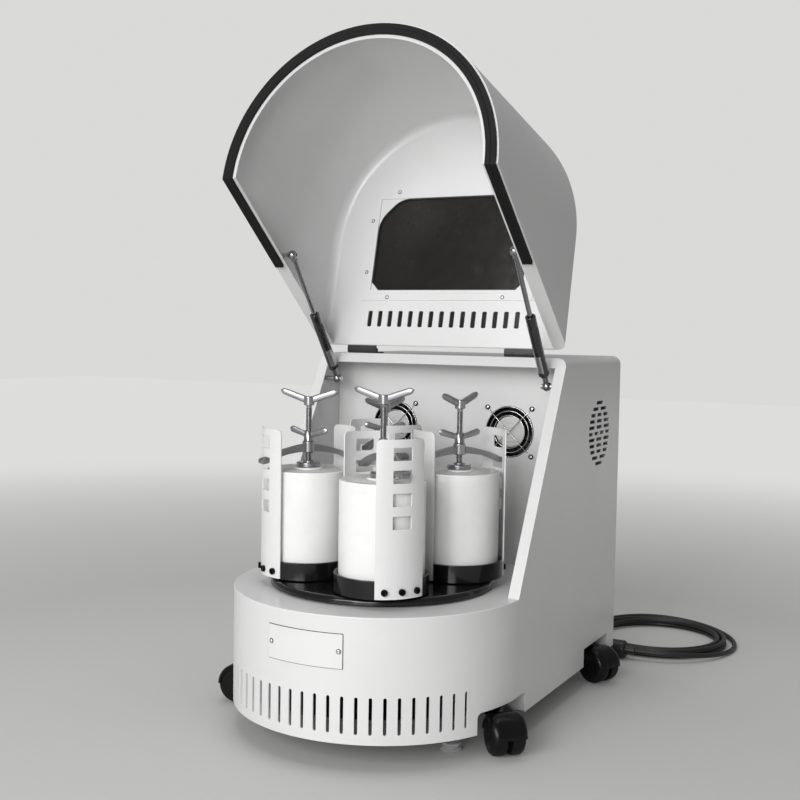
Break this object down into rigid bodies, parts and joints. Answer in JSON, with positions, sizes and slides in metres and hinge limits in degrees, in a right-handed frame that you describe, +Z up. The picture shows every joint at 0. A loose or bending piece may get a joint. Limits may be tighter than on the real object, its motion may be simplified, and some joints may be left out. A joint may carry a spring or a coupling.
{
  "type": "planetary ball mill",
  "caption": "Sheet metal planetary ball mill with open hood lid, turntable with jar stations in guard plates, gas struts, fans, casters and coiled mains cable.",
  "frame": {"origin": "on the floor, on the axis of the turntable, in the plane of the levelling foot pads", "axes": "+Z up; +Y from the rounded front towards the tall rear housing; +X to the right seen from the front"},
  "size_m": [0.7022, 1.0897, 1.0861],
  "materials": {
    "casing_white": "satin powder coat",
    "plate_white": "satin powder coat",
    "base_steel": "mill finish",
    "gear_steel": "machined",
    "cast_black": "gloss black",
    "holder_black": "gloss black",
    "jar_white": "smooth nylon",
    "clamp_steel": "cast, oiled",
    "screw_steel": "polished",
    "motor_paint": "satin",
    "belt_rubber": "matt",
    "seal_rubber": "matt",
    "window_tint": "tinted acrylic",
    "fan_black": "moulded",
    "wire_chrome": "plated wire",
    "strut_black": "gloss black",
    "strut_chrome": "polished",
    "hinge_black": "satin black",
    "caster_black": "moulded",
    "wheel_black": "tread",
    "foot_clear": "translucent nylon",
    "cable_black": "flexible cable sheath",
    "plug_black": "moulded"
  },
  "bodies": {
    "machine": {"drum_shell": "casing_white", "deck_plate": "casing_white", "rear_housing": "casing_white", "fan_bulkhead": "casing_white", "base_plate": "base_steel", "blank_plate": "plate_white", "levelling_feet": "foot_clear", "fan_frames": "fan_black", "fan_guards": "wire_chrome", "bearing_housing": "cast_black", "sun_gear": "gear_steel", "drive_motor": "motor_paint", "housing_hinges_and_studs": "hinge_black", "cable_gland": "plug_black", "mains_cable_run": "cable_black", "mains_cable_coil": "cable_black", "mains_plug": "plug_black", "drive_belt": "belt_rubber"},
    "lid": {"lid_shell": "casing_white", "lid_gasket": "seal_rubber", "window_pane": "window_tint", "window_frame": "plate_white", "lid_hinges_and_studs": "hinge_black"},
    "turntable": {"turntable_disc": "cast_black", "main_shaft": "gear_steel"},
    "motor_rotor": {"motor_pulley": "gear_steel"},
    "fan_left": {"fan_rotor_left": "fan_black"},
    "fan_right": {"fan_rotor_right": "fan_black"},
    "strut_cylinder_left": {"strut_cylinder_left": "strut_black"},
    "strut_rod_left": {"strut_rod_left": "strut_chrome"},
    "strut_cylinder_right": {"strut_cylinder_right": "strut_black"},
    "strut_rod_right": {"strut_rod_right": "strut_chrome"},
    "station_right": {"holder_right": "holder_black", "guard_plates_right": "plate_white", "jar_right": "jar_white", "clamp_bridge_right": "clamp_steel"},
    "clamp_right": {"clamp_screw_right": "screw_steel"},
    "station_rear": {"holder_rear": "holder_black", "guard_plates_rear": "plate_white", "jar_rear": "jar_white", "clamp_bridge_rear": "clamp_steel"},
    "clamp_rear": {"clamp_screw_rear": "screw_steel"},
    "station_left": {"holder_left": "holder_black", "guard_plates_left": "plate_white", "jar_left": "jar_white", "clamp_bridge_left": "clamp_steel"},
    "clamp_left": {"clamp_screw_left": "screw_steel"},
    "station_front": {"holder_front": "holder_black", "guard_plates_front": "plate_white", "jar_front": "jar_white", "clamp_bridge_front": "clamp_steel"},
    "clamp_front": {"clamp_screw_front": "screw_steel"},
    "caster_front_right": {"caster_hood_front_right": "caster_black"},
    "wheels_front_right": {"caster_wheels_front_right": "wheel_black"},
    "caster_front_left": {"caster_hood_front_left": "caster_black"},
    "wheels_front_left": {"caster_wheels_front_left": "wheel_black"},
    "caster_rear_right": {"caster_hood_rear_right": "caster_black"},
    "wheels_rear_right": {"caster_wheels_rear_right": "wheel_black"},
    "caster_rear_left": {"caster_hood_rear_left": "caster_black"},
    "wheels_rear_left": {"caster_wheels_rear_left": "wheel_black"}
  },
  "joints": [
    {"name": "lid_hinge", "type": "hinge", "parent": "machine", "child": "lid", "pos_m": [0, 0.194, 0.587], "axis": [1, 0, 0], "range_deg": [0, 103]},
    {"name": "strut_swing_left", "type": "hinge", "parent": "machine", "child": "strut_cylinder_left", "pos_m": [-0.201, 0.1895, 0.535], "axis": [1, 0, 0], "range_deg": [0, 103.94]},
    {"name": "strut_stroke_left", "type": "slide", "parent": "strut_cylinder_left", "child": "strut_rod_left", "axis": [0, -0.582, 0.8132], "range_m": [-0.08163, 0]},
    {"name": "strut_swing_right", "type": "hinge", "parent": "machine", "child": "strut_cylinder_right", "pos_m": [0.201, 0.1895, 0.535], "axis": [1, 0, 0], "range_deg": [0, 103.94]},
    {"name": "strut_stroke_right", "type": "slide", "parent": "strut_cylinder_right", "child": "strut_rod_right", "axis": [0, -0.582, 0.8132], "range_m": [-0.08163, 0]},
    {"name": "turntable_turn", "type": "hinge", "parent": "machine", "child": "turntable", "pos_m": [0, 0, 0.228], "axis": [0, 0, 1], "continuous": true},
    {"name": "motor_turn", "type": "hinge", "parent": "machine", "child": "motor_rotor", "pos_m": [0, 0.335, 0.093], "axis": [0, 0, 1], "continuous": true},
    {"name": "station_turn_right", "type": "hinge", "parent": "turntable", "child": "station_right", "pos_m": [0.10595, 0.05634, 0.24], "axis": [0, 0, 1], "continuous": true},
    {"name": "clamp_lift_right", "type": "slide", "parent": "station_right", "child": "clamp_right", "axis": [0, 0, 1], "range_m": [0, 0.012]},
    {"name": "station_turn_rear", "type": "hinge", "parent": "turntable", "child": "station_rear", "pos_m": [-0.05634, 0.10595, 0.24], "axis": [0, 0, 1], "continuous": true},
    {"name": "clamp_lift_rear", "type": "slide", "parent": "station_rear", "child": "clamp_rear", "axis": [0, 0, 1], "range_m": [0, 0.012]},
    {"name": "station_turn_left", "type": "hinge", "parent": "turntable", "child": "station_left", "pos_m": [-0.10595, -0.05634, 0.24], "axis": [0, 0, 1], "continuous": true},
    {"name": "clamp_lift_left", "type": "slide", "parent": "station_left", "child": "clamp_left", "axis": [0, 0, 1], "range_m": [0, 0.012]},
    {"name": "station_turn_front", "type": "hinge", "parent": "turntable", "child": "station_front", "pos_m": [0.05634, -0.10595, 0.24], "axis": [0, 0, 1], "continuous": true},
    {"name": "clamp_lift_front", "type": "slide", "parent": "station_front", "child": "clamp_front", "axis": [0, 0, 1], "range_m": [0, 0.012]},
    {"name": "fan_turn_left", "type": "hinge", "parent": "machine", "child": "fan_left", "pos_m": [-0.112, 0.258, 0.451], "axis": [0, 1, 0], "continuous": true},
    {"name": "fan_turn_right", "type": "hinge", "parent": "machine", "child": "fan_right", "pos_m": [0.112, 0.258, 0.451], "axis": [0, 1, 0], "continuous": true},
    {"name": "caster_swivel_front_right", "type": "hinge", "parent": "machine", "child": "caster_front_right", "pos_m": [0.224, -0.036, 0.068], "axis": [0, 0, 1], "continuous": true},
    {"name": "wheel_roll_front_right", "type": "hinge", "parent": "caster_front_right", "child": "wheels_front_right", "pos_m": [0.23872, -0.05235, 0.0304], "axis": [0.7431, 0.6691, 0], "continuous": true},
    {"name": "caster_swivel_front_left", "type": "hinge", "parent": "machine", "child": "caster_front_left", "pos_m": [-0.224, -0.036, 0.068], "axis": [0, 0, 1], "continuous": true},
    {"name": "wheel_roll_front_left", "type": "hinge", "parent": "caster_front_left", "child": "wheels_front_left", "pos_m": [-0.24579, -0.03906, 0.0304], "axis": [0.1392, -0.9903, 0], "continuous": true},
    {"name": "caster_swivel_rear_right", "type": "hinge", "parent": "machine", "child": "caster_rear_right", "pos_m": [0.224, 0.378, 0.068], "axis": [0, 0, 1], "continuous": true},
    {"name": "wheel_roll_rear_right", "type": "hinge", "parent": "caster_rear_right", "child": "wheels_rear_right", "pos_m": [0.2441, 0.36905, 0.0304], "axis": [0.4067, 0.9135, 0], "continuous": true},
    {"name": "caster_swivel_rear_left", "type": "hinge", "parent": "machine", "child": "caster_rear_left", "pos_m": [-0.224, 0.378, 0.068], "axis": [0, 0, 1], "continuous": true},
    {"name": "wheel_roll_rear_left", "type": "hinge", "parent": "caster_rear_left", "child": "wheels_rear_left", "pos_m": [-0.24467, 0.38552, 0.0304], "axis": [-0.342, -0.9397, 0], "continuous": true}
  ],
  "couplings": [
    {"joint": "strut_swing_left", "follows": "lid_hinge", "ratio": 1.009},
    {"joint": "strut_stroke_left", "follows": "lid_hinge", "m_per_rad": -0.045403},
    {"joint": "strut_swing_right", "follows": "lid_hinge", "ratio": 1.009},
    {"joint": "strut_stroke_right", "follows": "lid_hinge", "m_per_rad": -0.045403},
    {"joint": "motor_turn", "follows": "turntable_turn", "ratio": 2.5},
    {"joint": "station_turn_right", "follows": "turntable_turn", "ratio": 2},
    {"joint": "station_turn_rear", "follows": "turntable_turn", "ratio": 2},
    {"joint": "station_turn_left", "follows": "turntable_turn", "ratio": 2},
    {"joint": "station_turn_front", "follows": "turntable_turn", "ratio": 2}
  ]
}
